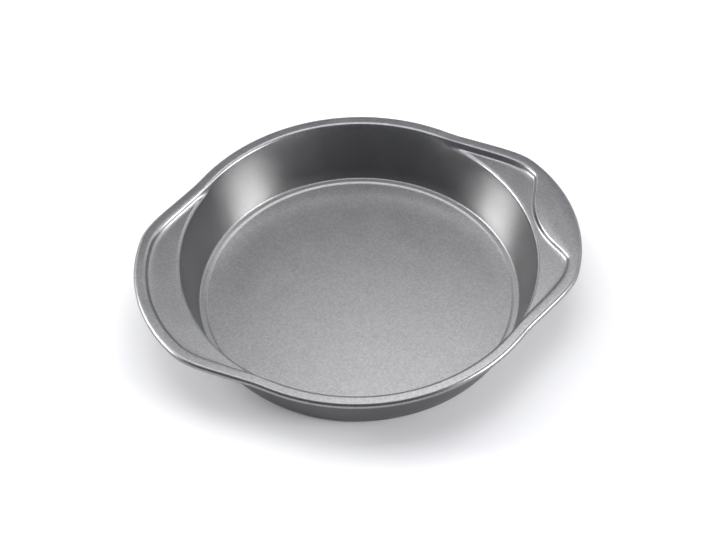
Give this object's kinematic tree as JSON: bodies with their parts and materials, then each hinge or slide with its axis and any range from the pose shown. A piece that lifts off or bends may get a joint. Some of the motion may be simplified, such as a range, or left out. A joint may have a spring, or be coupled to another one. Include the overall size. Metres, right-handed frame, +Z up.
{
  "type": "round baking tin",
  "caption": "Round pressed-steel baking tin with a flared wall, a wired rolled rim, wide recessed side handles and a non-stick coat inside and out.",
  "frame": {"origin": "centre of the base, on the surface that the tin stands on", "axes": "+X along the handles, towards the one with the thumb pad; +Z up out of the bowl"},
  "size_m": [0.2846, 0.2434, 0.0403],
  "materials": {
    "sheet_steel": "bare cut edge of cold-rolled sheet",
    "wire_steel": "drawn wire",
    "inner_nonstick": "satin metallic grey with a fine grain",
    "outer_nonstick": "satin metallic grey with a fine grain"
  },
  "bodies": {
    "root": {"pressed_shell": "sheet_steel", "rim_wire": "wire_steel", "inner_coating": "inner_nonstick", "outer_coating": "outer_nonstick"}
  },
  "joints": []
}
